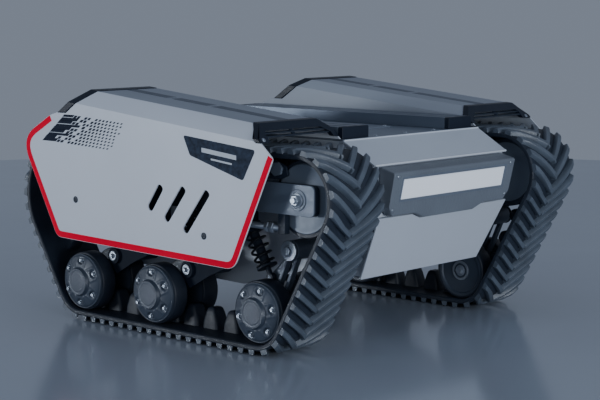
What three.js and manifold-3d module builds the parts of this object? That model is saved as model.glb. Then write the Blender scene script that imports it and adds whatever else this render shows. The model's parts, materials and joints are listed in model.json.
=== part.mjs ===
// Tracked rover chassis: a closed hull between two rubber tracks, each track carried by three
// sprung road wheels, a rear drive sprocket and a front idler on a screw tensioner.
// Units are millimetres. +X is forward, +Y is left, +Z is up. The origin is on the ground,
// midway along the tracks and midway between them.

import * as THREE from "three";
import { mergeVertices } from "three/addons/utils/BufferGeometryUtils.js";
import Module from "manifold-3d";

const wasm = await Module();
wasm.setup();

// ---------------------------------------------------------------- driving dimensions

// Clearances
const TOUCH = 0.35;
const RUNNING_GAP = 0.6;

// Track belt, seen from the side as circles [x, z, radius] that its inner face wraps around
const WRAP_FRONT_GROUND = [256, 87, 65];
const WRAP_IDLER = [369, 322, 78];
const WRAP_SPROCKET = [-319, 269, 128];
const WRAP_REAR_GROUND = [-282.5, 87, 65];
const BELT_INNER_Y = 261;
const BELT_WIDTH = 150;
const BELT_THICKNESS = 11;
const LUG_HEIGHT = 11;
const LUG_PITCH_NOMINAL = 30;
const LUG_TIP_WIDTH = 13;
const LUG_ROOT_WIDTH = 17;
const HORN_HEIGHT = 44;
const HORN_BASE = 44;
const HORN_TIP = 20;
const HORN_WIDTH = 38;
const FIRST_HORN_X = -228.3;

// Wheels
const ROAD_WHEEL_RADIUS = 64.2;
const ROAD_WHEEL_Z = 87;
const WHEEL_INNER_FACE = 270;
const WHEEL_OUTER_FACE = 396;
const HORN_SLOT = [312, 360];
const HUB_CAP_RADIUS = 60.5;
const HUB_CAP_RIM_Y = 402.5;
const HUB_CAP_BOSS_Y = 418;
const HUB_BOSS_RADIUS = 29;
const IDLER_RADIUS = 77.2;
const IDLER_DISC_RADIUS = 69;
const IDLER_FACES = [286, 386];
const SPROCKET_RADIUS = 81;
const SPROCKET_TEETH = 13;
const SPROCKET_BORE = 25;
const SPROCKET_HUB_RADIUS = 44;
const SPROCKET_HUB_Y = [300, 354.6];
const SPROCKET_TOOTH_Y = [318, 354];
const MOTOR_NOSE_RADIUS = 23.4;
const AXLE_RADIUS = 12;

// Suspension stations. Damper eyes are given from the arm's pivot.
const STATIONS = {
  1: { wheelX: -278, pivot: [-215, 146], foot: [-30, 24], head: [4, 136], springRadius: 13 },
  2: { wheelX: -49, pivot: [17, 142], foot: [-30, 24], head: [4, 136], springRadius: 13 },
  3: { wheelX: 256, pivot: [310, 213], foot: [-67, -63], head: [-133, 52], springRadius: 20 },
};
const ARM_Y = [320, 352];
const ARM_LEVER_OUTER_Y = 336;
const PIVOT_RADIUS = 11.5;
const RING_RADIUS = 19;
const DAMPER_Y = 345.5;
const DAMPER_SEAT = 26;
const DAMPER_HEAD_ROOM = 20;
const SPRING_WALL = 4;

// Track frame plates
const FRAME_INNER_Y = [230, 238];
const FRAME_OUTER_Y = [355.6, 359.2];
const COVER_SCREWS = [[-233, 277], [161, 237]];

// Side covers. Their top falls towards the front.
const COVER_OUTER_Y = 454;
const COVER_INNER_Y = 227.5;
const COVER_TOP_Z = 491.9;
const COVER_FALL = 0.095;
const SHEET = 3;
const CAP_PROUD = 1.5;
const REAR_CAP = { foot: [-290, 462], lean: 1.52, inward: 28 };
const FRONT_CAP = { foot: [318, 431], lean: -0.946, inward: -14 };

// Hull and deck
const HULL_WALL = 4;
const HULL_SECTION = [[188, 142], [220, 285], [220, 420]];
const HULL_PROFILE = [
  [-338, 420], [-360, 330], [-360, 180], [-320, 142], [347, 142], [404, 266], [404, 372], [322, 420],
];
const DECK_TOP = 423.5;
const RAIL_TOP = 448.5;
const RAIL_Y = [136, 218];

// Power button in the rear plate
const BUTTON_Z = 270;
const BUTTON_FACE_X = -376;
const BUTTON_RADIUS = 14;
const BUTTON_CAP_RADIUS = 17;
const BUTTON_CAP_THICKNESS = 6;
const REAR_PLATE_X = [-364.3, -360.35];

// Extents that lie past the solids they trim
const SIDE_REACH = [200, 480];
const COVER_REACH = [-460, 380];
const HULL_REACH = 240;

const CIRCLE_SIDES = 12;
const CURVE_STEPS = 5;
const SIDES = [["left", 1], ["right", -1]];

// ---------------------------------------------------------------- materials

function paint(colour, roughness, metalness) {
  return new THREE.MeshStandardMaterial({ color: colour, roughness, metalness });
}

const MATERIALS = {
  coverPaint: paint(0xe9ecef, 0.45, 0.1),
  platePaint: paint(0xc9cdd3, 0.4, 0.2),
  darkPaint: paint(0x2b2e33, 0.5, 0.4),
  blackPlastic: paint(0x17181a, 0.6, 0.0),
  greyPlastic: paint(0x565c63, 0.5, 0.1),
  discPaint: paint(0x9aa0a8, 0.4, 0.5),
  rubber: paint(0x141416, 0.85, 0.0),
  steel: paint(0xa9adb2, 0.3, 0.9),
  springSteel: paint(0x202226, 0.4, 0.6),
  lens: paint(0xffffff, 0.3, 0.0),
  cells: paint(0x24425f, 0.5, 0.0),
  redPlastic: paint(0xa01818, 0.4, 0.0),
};

// ---------------------------------------------------------------- solid helpers

// A closed three.js geometry as a solid, turned the right way out.
function solidFrom(geometry) {
  const bare = geometry.clone();
  bare.deleteAttribute("normal");
  bare.deleteAttribute("uv");
  const merged = mergeVertices(bare, 1e-3);
  const position = merged.getAttribute("position");
  const index = merged.getIndex().array;
  const corners = [new THREE.Vector3(), new THREE.Vector3(), new THREE.Vector3()];
  const triangles = [];
  let volume = 0;
  for (let i = 0; i < index.length; i += 3) {
    const [a, b, c] = [index[i], index[i + 1], index[i + 2]];
    if (a === b || b === c || c === a) continue;
    triangles.push(a, b, c);
    [a, b, c].forEach((vertex, k) => corners[k].fromBufferAttribute(position, vertex));
    volume += corners[0].dot(corners[1].clone().cross(corners[2]));
  }
  if (volume < 0) triangles.reverse();
  return new wasm.Manifold(new wasm.Mesh({
    numProp: 3,
    vertProperties: new Float32Array(position.array),
    triVerts: new Uint32Array(triangles),
  }));
}

function geometryFrom(solid) {
  const mesh = solid.getMesh();
  const geometry = new THREE.BufferGeometry();
  geometry.setAttribute("position", new THREE.BufferAttribute(mesh.vertProperties, 3));
  geometry.setIndex(new THREE.BufferAttribute(mesh.triVerts, 1));
  geometry.computeVertexNormals();
  return geometry;
}

function join(...solids) {
  return solids.reduce((whole, next) => whole.add(next));
}

function cut(solid, ...tools) {
  return tools.reduce((rest, tool) => rest.subtract(tool), solid);
}

// A closed outline of [a, b] points. A third number rounds that corner to a radius.
function outlineShape(points) {
  const shape = new THREE.Shape();
  points.forEach(([a, b, radius = 0], i) => {
    const corner = new THREE.Vector2(a, b);
    const before = new THREE.Vector2(...points.at(i - 1).slice(0, 2)).sub(corner).normalize();
    const after = new THREE.Vector2(...points[(i + 1) % points.length].slice(0, 2));
    after.sub(corner).normalize();
    const reach = radius / Math.tan(Math.acos(before.dot(after)) / 2);
    const start = corner.clone().addScaledVector(before, reach);
    const end = corner.clone().addScaledVector(after, reach);
    if (i === 0) shape.moveTo(start.x, start.y);
    else shape.lineTo(start.x, start.y);
    if (radius > 0) shape.quadraticCurveTo(a, b, end.x, end.y);
  });
  shape.closePath();
  return shape;
}

function extruded(shape, depth) {
  return new THREE.ExtrudeGeometry(shape, {
    depth, bevelEnabled: false, curveSegments: CURVE_STEPS,
  });
}

// Lays an extruded side view across the machine, between two distances from the middle plane.
function laidAcross(geometry, side, farY, nearY) {
  const axes = new THREE.Matrix4().makeBasis(
    new THREE.Vector3(1, 0, 0), new THREE.Vector3(0, 0, 1), new THREE.Vector3(0, -1, 0));
  geometry.applyMatrix4(axes);
  geometry.translate(0, side > 0 ? farY : -nearY, 0);
  return solidFrom(geometry);
}

// A side-view outline of [x, z] points, filled between two distances from the middle plane.
function sidePrism(points, side, nearY, farY) {
  return laidAcross(extruded(outlineShape(points), farY - nearY), side, farY, nearY);
}

// A front-view outline of [y, z] points, filled between two X values, falling along X.
function frontPrism(points, lowX, highX, fall = 0) {
  const geometry = extruded(outlineShape(points), highX - lowX);
  const axes = new THREE.Matrix4().makeBasis(
    new THREE.Vector3(0, 1, 0), new THREE.Vector3(0, 0, 1), new THREE.Vector3(1, 0, 0));
  geometry.applyMatrix4(axes);
  geometry.translate(lowX, 0, 0);
  geometry.applyMatrix4(new THREE.Matrix4().makeShear(0, -fall, 0, 0, 0, 0));
  return solidFrom(geometry);
}

function block(lowX, highX, side, nearY, farY, lowZ, highZ) {
  return sidePrism(
    [[lowX, lowZ], [highX, lowZ], [highX, highZ], [lowX, highZ]], side, nearY, farY);
}

// An outline given for the left half of a front view, completed by its mirror image.
function bothHalves(points) {
  return [...points, ...points.map(([y, z]) => [-y, z]).reverse()];
}

// A round bar across the machine, at [x, z].
function crossBar([x, z], radius, side, nearY, farY, sides = CIRCLE_SIDES) {
  const geometry = new THREE.CylinderGeometry(radius, radius, farY - nearY, sides);
  geometry.translate(x, side * (nearY + farY) / 2, z);
  return solidFrom(geometry);
}

// A profile of [radius, y] points turned about the machine's Y direction, on one side.
function turned(profile, side, sides) {
  const points = profile.map(([r, y]) => new THREE.Vector2(r, side * y));
  return solidFrom(new THREE.LatheGeometry(points, sides));
}

// The same for a ring, whose profile closes on itself.
function turnedRing(profile, side, sides) {
  return turned([...profile, profile[0]], side, sides);
}

// A straight strap between two points of the side view.
function strap([ax, az], [bx, bz], half, radius = 0) {
  const length = Math.hypot(bx - ax, bz - az);
  const [nx, nz] = [-(bz - az) / length * half, (bx - ax) / length * half];
  return [
    [ax + nx, az + nz, radius], [bx + nx, bz + nz, radius],
    [bx - nx, bz - nz, radius], [ax - nx, az - nz, radius],
  ];
}

const model = new THREE.Group();

function addPart(name, solid, material, place = [0, 0, 0]) {
  const mesh = new THREE.Mesh(geometryFrom(solid), material);
  mesh.name = name;
  mesh.position.set(...place);
  model.add(mesh);
}

// ---------------------------------------------------------------- belt path

// The belt's inner face in side view: arcs around the wrap circles, joined by tangents.
// It runs forward along the ground, up the front, back along the top and down the rear.
function beltPieces(circles) {
  const tangentNormals = circles.map(([ax, az, ar], i) => {
    const [bx, bz, br] = circles[(i + 1) % circles.length];
    const length = Math.hypot(bx - ax, bz - az);
    const along = [(bx - ax) / length, (bz - az) / length];
    const lean = (ar - br) / length;
    const out = Math.sqrt(1 - lean * lean);
    return [along[0] * lean + along[1] * out, along[1] * lean - along[0] * out];
  });
  const pieces = [];
  circles.forEach(([cx, cz, r], i) => {
    const before = tangentNormals.at(i - 1);
    const after = tangentNormals[i];
    const start = Math.atan2(before[1], before[0]);
    let end = Math.atan2(after[1], after[0]);
    if (end < start) end += 2 * Math.PI;
    pieces.push({ kind: "arc", cx, cz, r, start, end, length: r * (end - start) });
    const [nx, nz, nr] = circles[(i + 1) % circles.length];
    const from = [cx + r * after[0], cz + r * after[1]];
    const to = [nx + nr * after[0], nz + nr * after[1]];
    const length = Math.hypot(to[0] - from[0], to[1] - from[1]);
    pieces.push({ kind: "line", from, to, normal: after, length });
  });
  return pieces;
}

const BELT = beltPieces([WRAP_FRONT_GROUND, WRAP_IDLER, WRAP_SPROCKET, WRAP_REAR_GROUND]);
const BELT_LENGTH = BELT.reduce((sum, piece) => sum + piece.length, 0);
const LUG_COUNT = 2 * Math.round(BELT_LENGTH / (2 * LUG_PITCH_NOMINAL));
const LUG_PITCH = BELT_LENGTH / LUG_COUNT;
const FIRST_HORN = FIRST_HORN_X - WRAP_FRONT_GROUND[0];

// The point on the belt's inner face at a distance along it, with its outward normal.
function beltAt(distance) {
  let rest = ((distance % BELT_LENGTH) + BELT_LENGTH) % BELT_LENGTH;
  let piece = BELT[0];
  for (piece of BELT) {
    if (rest <= piece.length) break;
    rest -= piece.length;
  }
  if (piece.kind === "arc") {
    const angle = piece.start + rest / piece.r;
    const normal = [Math.cos(angle), Math.sin(angle)];
    return { x: piece.cx + piece.r * normal[0], z: piece.cz + piece.r * normal[1], normal };
  }
  const share = rest / piece.length;
  const x = piece.from[0] + (piece.to[0] - piece.from[0]) * share;
  const z = piece.from[1] + (piece.to[1] - piece.from[1]) * share;
  return { x, z, normal: piece.normal };
}

function offBelt(distance, lift) {
  const { x, z, normal } = beltAt(distance);
  return [x + normal[0] * lift, z + normal[1] * lift];
}

// ---------------------------------------------------------------- tracks

function beltInnerOutline() {
  const stepAngle = Math.PI / 14;
  const points = [];
  for (const piece of BELT.filter(({ kind }) => kind === "arc")) {
    const steps = Math.max(2, Math.ceil((piece.end - piece.start) / stepAngle));
    for (let i = 0; i <= steps; i++) {
      const angle = piece.start + (piece.end - piece.start) * (i / steps);
      points.push([piece.cx + piece.r * Math.cos(angle), piece.cz + piece.r * Math.sin(angle)]);
    }
  }
  return points;
}

function beltOuterOutline() {
  const points = [];
  for (let i = 0; i < LUG_COUNT; i++) {
    const middle = FIRST_HORN + i * LUG_PITCH;
    points.push(offBelt(middle - LUG_ROOT_WIDTH / 2, BELT_THICKNESS));
    points.push(offBelt(middle - LUG_TIP_WIDTH / 2, BELT_THICKNESS + LUG_HEIGHT));
    points.push(offBelt(middle + LUG_TIP_WIDTH / 2, BELT_THICKNESS + LUG_HEIGHT));
    points.push(offBelt(middle + LUG_ROOT_WIDTH / 2, BELT_THICKNESS));
  }
  return points;
}

// One guide horn, standing inward from the belt on every second lug.
function hornOutline(distance) {
  const { x, z, normal } = beltAt(distance);
  const along = [-normal[1], normal[0]];
  const local = [
    [-HORN_BASE / 2, 3], [HORN_BASE / 2, 3], [HORN_TIP / 2, -HORN_HEIGHT],
    [-HORN_TIP / 2, -HORN_HEIGHT],
  ];
  return local.map(([t, n]) => [
    x + along[0] * t + normal[0] * n, z + along[1] * t + normal[1] * n]);
}

function track(side) {
  const shape = outlineShape(beltOuterOutline());
  const hole = beltInnerOutline().map(([x, z]) => new THREE.Vector2(x, z));
  shape.holes.push(new THREE.Path(hole));
  const outerY = BELT_INNER_Y + BELT_WIDTH;
  const middleY = BELT_INNER_Y + BELT_WIDTH / 2;
  let belt = laidAcross(extruded(shape, BELT_WIDTH), side, outerY, BELT_INNER_Y);
  for (let i = 0; i < LUG_COUNT; i += 2) {
    const outline = hornOutline(FIRST_HORN + i * LUG_PITCH);
    belt = belt.add(sidePrism(outline, side, middleY - HORN_WIDTH / 2, middleY + HORN_WIDTH / 2));
  }
  return belt;
}

// ---------------------------------------------------------------- wheels

// Two tyred discs on one axle, with the guide horns' slot between them.
function roadWheel(side) {
  const rim = ROAD_WHEEL_RADIUS;
  return turned([
    [0, WHEEL_INNER_FACE], [rim - 3, WHEEL_INNER_FACE], [rim, WHEEL_INNER_FACE + 4],
    [rim, HORN_SLOT[0]], [AXLE_RADIUS, HORN_SLOT[0]], [AXLE_RADIUS, HORN_SLOT[1]],
    [rim, HORN_SLOT[1]], [rim, WHEEL_OUTER_FACE], [0, WHEEL_OUTER_FACE],
  ], side, 18);
}

function hubCap(side) {
  const back = WHEEL_OUTER_FACE + TOUCH;
  return turned([
    [0, back], [HUB_CAP_RADIUS, back], [HUB_CAP_RADIUS, HUB_CAP_RIM_Y], [56, HUB_CAP_RIM_Y + 1.5],
    [32, HUB_CAP_BOSS_Y - 5], [HUB_BOSS_RADIUS, HUB_CAP_BOSS_Y], [0, HUB_CAP_BOSS_Y],
  ], side, 18);
}

function idlerWheel(side) {
  const bore = AXLE_RADIUS + RUNNING_GAP;
  const [inner, outer] = IDLER_FACES;
  return turnedRing([
    [bore, inner], [IDLER_RADIUS, inner], [IDLER_RADIUS, HORN_SLOT[0]], [24, HORN_SLOT[0]],
    [24, HORN_SLOT[1]], [IDLER_RADIUS, HORN_SLOT[1]], [IDLER_RADIUS, outer - 4],
    [IDLER_DISC_RADIUS, outer], [bore, outer],
  ], side, 22);
}

// The drum's teeth meet the tips of the guide horns.
function sprocket(side) {
  const outline = [];
  for (let i = 0; i < SPROCKET_TEETH; i++) {
    for (const [turn, share] of [[-0.32, 0.82], [-0.2, 1], [0.2, 1], [0.32, 0.82]]) {
      const angle = (i + turn) * 2 * Math.PI / SPROCKET_TEETH;
      outline.push([
        share * SPROCKET_RADIUS * Math.cos(angle), share * SPROCKET_RADIUS * Math.sin(angle)]);
    }
  }
  const toothed = sidePrism(outline, side, ...SPROCKET_TOOTH_Y);
  const hub = crossBar([0, 0], SPROCKET_HUB_RADIUS, side, ...SPROCKET_HUB_Y);
  return cut(join(toothed, hub), crossBar([0, 0], SPROCKET_BORE, side, 290, 370));
}

// ---------------------------------------------------------------- suspension

// An arm is built about its own pivot: a pivot tube, a web, a hub ring and a damper pin.
function swingArm({ wheelX, pivot, foot }, side, tubeOuterY) {
  const hub = [wheelX - pivot[0], ROAD_WHEEL_Z - pivot[1]];
  const arm = join(
    sidePrism(strap([0, 0], hub, 15), side, ...ARM_Y),
    sidePrism(strap([0, 0], foot, 10), side, ARM_Y[0], ARM_LEVER_OUTER_Y),
    crossBar(foot, 4.5, side, ARM_LEVER_OUTER_Y - 4, ARM_Y[1], 10),
    crossBar(foot, 10.5, side, ARM_Y[0], ARM_LEVER_OUTER_Y, 12),
    crossBar(hub, RING_RADIUS, side, ...ARM_Y),
    crossBar([0, 0], RING_RADIUS + 1, side, 246, tubeOuterY),
  );
  const window = strap([hub[0] * 0.3, hub[1] * 0.3], [hub[0] * 0.72, hub[1] * 0.72], 7);
  return cut(
    arm,
    sidePrism(window, side, ARM_Y[1] - 10, 400),
    crossBar([0, 0], PIVOT_RADIUS + RUNNING_GAP, side, 200, 400, 16),
    crossBar(hub, AXLE_RADIUS + RUNNING_GAP, side, 200, 400, 16),
  );
}

function damperLength({ foot, head }) {
  return Math.hypot(head[0] - foot[0], head[1] - foot[1]);
}

// Stands a piece made along +Y on the damper's foot eye and leans it towards the head eye.
function addOnDamper(name, solid, material, station, side) {
  const { pivot, foot, head } = station;
  const mesh = new THREE.Mesh(geometryFrom(solid), material);
  mesh.name = name;
  mesh.rotation.x = Math.PI / 2;
  const holder = new THREE.Group();
  holder.position.set(pivot[0] + foot[0], side * DAMPER_Y, pivot[1] + foot[1]);
  holder.rotation.y = Math.atan2(head[0] - foot[0], head[1] - foot[1]);
  holder.add(mesh);
  model.add(holder);
}

// A round bar along the local Z direction at a height on the damper.
function damperEye(height, radius, width) {
  const geometry = new THREE.CylinderGeometry(radius, radius, width, 10);
  geometry.rotateX(Math.PI / 2);
  geometry.translate(0, height, 0);
  return solidFrom(geometry);
}

function damper(station) {
  const length = damperLength(station);
  const flange = station.springRadius;
  const top = length - DAMPER_HEAD_ROOM;
  const body = turned([
    [0, 3], [6, 3], [6, DAMPER_SEAT - 4], [flange, DAMPER_SEAT - 4], [flange, DAMPER_SEAT],
    [flange - SPRING_WALL - 1, DAMPER_SEAT], [flange - SPRING_WALL - 1, top], [flange, top],
    [flange, top + 4], [6, top + 4], [6, length - 3], [0, length - 3],
  ], 1, 10);
  const whole = join(body, damperEye(0, 8.5, 12), damperEye(length, 8.5, 12));
  return cut(whole, damperEye(0, 4.5 + RUNNING_GAP, 40));
}

function spring(station) {
  const outer = station.springRadius;
  const low = DAMPER_SEAT + TOUCH;
  const high = damperLength(station) - DAMPER_HEAD_ROOM - TOUCH;
  return turnedRing([
    [outer - SPRING_WALL, low], [outer, low], [outer, high], [outer - SPRING_WALL, high],
  ], 1, 10);
}

// ---------------------------------------------------------------- track frames

// The hanging plate below the beam that holds a pivot's outer end.
function hanger([x, z]) {
  const points = [
    [26, 64], [109, 64], [109, 14], [60, -8], [3, -40], [-20, -14], [-20, 10], [10, 20]];
  return points.map(([dx, dz]) => [x + dx, z + dz]);
}

// The opening in the beam around a damper and its spring.
function springWindow([x, z]) {
  return [[x - 56, z + 40], [x + 25, z + 40], [x + 25, z + 130], [x - 56, z + 130]];
}

function outerPlate(side) {
  const beam = [
    [-262, 196], [138, 196], [154, 222], [154, 272], [174, 288], [190, 288], [190, 334],
    [-262, 334],
  ];
  const pivots = [STATIONS[1].pivot, STATIONS[2].pivot];
  const windows = pivots.map((pivot) => sidePrism(springWindow(pivot), side, 340, 380));
  const hangers = pivots.map((pivot) => sidePrism(hanger(pivot), side, ...FRAME_OUTER_Y));
  const plate = cut(sidePrism(beam, side, ...FRAME_OUTER_Y), ...windows);
  return join(plate, ...hangers);
}

// The guide that the idler's bracket slides along, and the lug for its tension screw.
function tensionMount(side) {
  const guide = block(172, 274, side, FRAME_OUTER_Y[0], 389, 297, 346);
  const lug = block(207, 231, side, 370, 410, 246, 300);
  return cut(join(guide, lug), alongBar(200, 240, side * 397, 262, 9));
}

// A round bar along X.
function alongBar(lowX, highX, y, z, radius) {
  const geometry = new THREE.CylinderGeometry(radius, radius, highX - lowX, 16);
  geometry.rotateZ(Math.PI / 2);
  geometry.translate((lowX + highX) / 2, y, z);
  return solidFrom(geometry);
}

function trackFrame(side) {
  const innerOutline = [
    [-300, 108], [60, 100], [330, 176], [352, 300], [300, 346], [-340, 346], [-372, 262]];
  const inner = sidePrism(innerOutline, side, ...FRAME_INNER_Y);
  const shafts = Object.values(STATIONS).map(({ pivot }) => (
    crossBar(pivot, PIVOT_RADIUS, side, FRAME_INNER_Y[0] + 2, 366)));
  const bosses = [1, 2].map((number) => (
    crossBar(STATIONS[number].pivot, 18, side, FRAME_OUTER_Y[0], 366)));
  const ties = [[-110, 320], [40, 320]].map((place) => (
    crossBar(place, 10, side, FRAME_INNER_Y[0] + 2, FRAME_OUTER_Y[0] + 1)));
  const pads = [-230, -60, 120, 290].map((x) => (
    crossBar([x, 318], 13, side, HULL_SECTION[1][0] + TOUCH, FRAME_INNER_Y[0] + 1)));
  const standoffs = COVER_SCREWS.map((place) => (
    crossBar(place, 8, side, FRAME_OUTER_Y[0] + 1, COVER_OUTER_Y - SHEET - TOUCH, 12)));
  const frame = join(
    inner, outerPlate(side), ...shafts, ...bosses, ...ties, ...pads, ...standoffs,
    tensionMount(side));
  return cut(frame, crossBar(WRAP_SPROCKET.slice(0, 2), SPROCKET_BORE, side, 200, 260));
}

// The idler's bracket: plate, axle, screw leg and tension screw, which slide as one piece.
function idlerBracket(side) {
  const [x, z] = WRAP_IDLER;
  return join(
    sidePrism([[250, 291], [411, 291, 12], [411, 352, 12], [250, 352]], side, 389.5, 405),
    crossBar([x, z], AXLE_RADIUS, side, IDLER_FACES[0], 392),
    crossBar([x, z], 17, side, 404, 421),
    block(316, 334, side, 389.5, 405, 250, 293),
    alongBar(214, 320, side * 397, 262, 7),
  );
}

// The gearbox nose carries the sprocket, and the motor lies beside it inside the hull.
function driveMotor(side) {
  const [x, z] = WRAP_SPROCKET;
  return join(
    crossBar([x, z], MOTOR_NOSE_RADIUS, side, 190, 353),
    block(-348, -222, side, 172, 200, 236, 302),
    crossBar([-274, z], 48, side, 84, 176),
  );
}

// ---------------------------------------------------------------- side covers

const COVER_BENDS = [
  [COVER_OUTER_Y, COVER_TOP_Z - 29.5], [425.3, COVER_TOP_Z],
  [256, COVER_TOP_Z], [COVER_INNER_Y, COVER_TOP_Z - 18],
];
const COVER_SILHOUETTE = [
  [-416, 400, 52], [-298, 190, 25], [244, 178, 35], [350, 403, 8], [318, 431], [262, 490],
  [-172, 532], [-290, 462], [-316, 455, 10],
];
const VENT_HALF_WIDTH = 8.6;
const VENT_SLOTS = [[[38, 328], [1, 276]], [[105, 329], [50, 258]], [[173, 327], [105, 240]]];

// The folded sheet's section in front view: its bends, and the same bends one sheet further in.
function sheetSection(side) {
  const lift = ([y, z], dy, dz) => [y + dy, z + dz];
  const [outerLow, outerHigh, innerHigh, innerLow] = COVER_BENDS;
  const outside = [[COVER_OUTER_Y, 100], ...COVER_BENDS, [COVER_INNER_Y, 380]];
  const inside = [
    [COVER_INNER_Y + SHEET, 380], lift(innerLow, SHEET, -1.7), lift(innerHigh, 0.9, -SHEET),
    lift(outerHigh, -1.2, -SHEET), lift(outerLow, -SHEET, -1.2), [COVER_OUTER_Y - SHEET, 100],
  ];
  return [...outside, ...inside].map(([y, z]) => [side * y, z]);
}

// The slanted slab at an end of the cover, in side view.
function endSlab({ foot: [x, z], lean, inward }, gap = 0) {
  const rise = 76;
  const way = Math.sign(inward);
  const near = x - 4 * gap * way;
  const far = x + inward + 2 * gap * way;
  return [
    [near, z - gap], [near + lean * rise, z + rise], [far + lean * rise, z + rise], [far, z - gap]];
}

function sideCover(side) {
  const sheet = frontPrism(sheetSection(side), ...COVER_REACH, COVER_FALL);
  const silhouette = sidePrism(COVER_SILHOUETTE, side, ...SIDE_REACH);
  const slots = VENT_SLOTS.map(([high, low]) => (
    sidePrism(
      strap(high, low, VENT_HALF_WIDTH, VENT_HALF_WIDTH - 0.5),
      side, COVER_OUTER_Y - 10, COVER_OUTER_Y + 10)));
  return cut(
    sheet.intersect(silhouette),
    block(...COVER_REACH, side, COVER_INNER_Y - 5, 300, 300, 425.5),
    sidePrism(endSlab(REAR_CAP, TOUCH), side, ...SIDE_REACH),
    sidePrism(endSlab(FRONT_CAP, TOUCH), side, ...SIDE_REACH),
    ...slots,
  );
}

function fenderCap(end, side) {
  const proud = [
    [COVER_OUTER_Y + CAP_PROUD, 100], [COVER_OUTER_Y + CAP_PROUD, COVER_BENDS[0][1]],
    [COVER_BENDS[1][0], COVER_TOP_Z + CAP_PROUD], [COVER_BENDS[2][0], COVER_TOP_Z + CAP_PROUD],
    [COVER_INNER_Y - CAP_PROUD, COVER_BENDS[3][1]], [COVER_INNER_Y - CAP_PROUD, 100],
  ].map(([y, z]) => [side * y, z]);
  return frontPrism(proud, ...COVER_REACH, COVER_FALL)
    .intersect(sidePrism(endSlab(end), side, ...SIDE_REACH));
}

// ---------------------------------------------------------------- hull and deck

function hullTub() {
  const [[floorHalf, floorZ], [half, shoulderZ], [, topZ]] = HULL_SECTION;
  const outer = frontPrism(bothHalves(HULL_SECTION), -400, 440);
  const hollow = frontPrism(bothHalves([
    [floorHalf - HULL_WALL, floorZ + HULL_WALL], [half - HULL_WALL, shoulderZ],
    [half - HULL_WALL, topZ + 20],
  ]), -400, 440);
  const hollowProfile = [
    [-333, 440], [-334, 420], [-356, 330], [-356, 182], [-318, 146], [344, 146], [400, 267],
    [400, 369.5], [320, 416.5], [318, 440],
  ];
  const shell = cut(
    outer.intersect(sidePrism(HULL_PROFILE, 1, -HULL_REACH, HULL_REACH)),
    hollow.intersect(sidePrism(hollowProfile, 1, -HULL_REACH, HULL_REACH)),
  );
  const noses = SIDES.map(([, side]) => crossBar(WRAP_SPROCKET.slice(0, 2), SPROCKET_BORE, side, 195, 235));
  return cut(shell, ...noses);
}

function deckPlate() {
  return block(-333, 322, 1, -220, 220, 420 + TOUCH, DECK_TOP);
}

function deckRail(side) {
  return block(-330, 320, side, RAIL_Y[0], RAIL_Y[1], DECK_TOP + TOUCH, RAIL_TOP);
}

function frontUpperPlate() {
  const plate = sidePrism(
    [[332, 422], [410, 378], [408, 374.5], [330, 418.5]], 1, -HULL_REACH, HULL_REACH);
  const taper = frontPrism(bothHalves([[224, 374], [228, 423]]), 320, 420);
  return plate.intersect(taper);
}

function frontLowerPlate() {
  const plate = sidePrism(
    [[353, 138], [416, 270], [412.4, 271.7], [349.4, 139.7]], 1, -HULL_REACH, HULL_REACH);
  const taper = frontPrism(bothHalves([[198, 137], [218, 272]]), 340, 420);
  return cut(plate.intersect(taper), lampOpening());
}

// The space under the lamp housing's stepped lower edge.
function lampOpening() {
  return frontPrism(bothHalves([[81, 259.5], [117, 272.6], [118, 300]]), 405, 430);
}

function rearPlate() {
  return cut(
    block(...REAR_PLATE_X, 1, -200, 200, 184, 326),
    alongBar(-370, -350, 0, BUTTON_Z, BUTTON_RADIUS + RUNNING_GAP),
  );
}

const LENS_SLOPE = [[443.6, 348], [434.4, 307]];
const LENS_HALF = 173;
const LENS_DEPTH = 10;

function lampLens() {
  const [[topX, topZ], [lowX, lowZ]] = LENS_SLOPE;
  return sidePrism(
    [[topX, topZ], [lowX, lowZ], [lowX - LENS_DEPTH, lowZ], [topX - LENS_DEPTH, topZ]],
    1, -LENS_HALF, LENS_HALF);
}

function lampHousing() {
  const [[topX, topZ], [lowX, lowZ]] = LENS_SLOPE;
  const face = bothHalves([[80, 261], [117, 274], [190, 274], [205, 293], [207, 380]]);
  const profile = [[408.5, 262], [425, 262], [447, 361], [444, 364], [412, 372.5], [408.5, 372.5]];
  const back = LENS_DEPTH + 2 * TOUCH;
  const pocket = [
    [topX + 20, topZ + TOUCH], [lowX + 20, lowZ - TOUCH],
    [lowX - back, lowZ - TOUCH], [topX - back, topZ + TOUCH],
  ];
  return cut(
    frontPrism(face, 400, 460).intersect(sidePrism(profile, 1, -HULL_REACH, HULL_REACH)),
    sidePrism(pocket, 1, -LENS_HALF - TOUCH, LENS_HALF + TOUCH),
  );
}

function batteryPack() {
  return block(-120, 140, 1, -110, 110, 146 + TOUCH, 225);
}

// The button's travel ends in the rear plate's bore, short of the hull's wall.
function powerButton() {
  const capBack = BUTTON_FACE_X + BUTTON_CAP_THICKNESS;
  return join(
    alongBar(BUTTON_FACE_X, REAR_PLATE_X[0] - 0.1, 0, BUTTON_Z, BUTTON_RADIUS),
    alongBar(BUTTON_FACE_X, capBack, 0, BUTTON_Z, BUTTON_CAP_RADIUS),
  );
}

// ---------------------------------------------------------------- assembly

addPart("hull_tub", hullTub(), MATERIALS.platePaint);
addPart("deck_plate", deckPlate(), MATERIALS.platePaint);
addPart("front_upper_plate", frontUpperPlate(), MATERIALS.platePaint);
addPart("front_lower_plate", frontLowerPlate(), MATERIALS.platePaint);
addPart("rear_plate", rearPlate(), MATERIALS.platePaint);
addPart("lamp_housing", lampHousing(), MATERIALS.blackPlastic);
addPart("lamp_lens", lampLens(), MATERIALS.lens);
addPart("battery_pack", batteryPack(), MATERIALS.cells);
addPart("power_button", powerButton(), MATERIALS.redPlastic);

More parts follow.
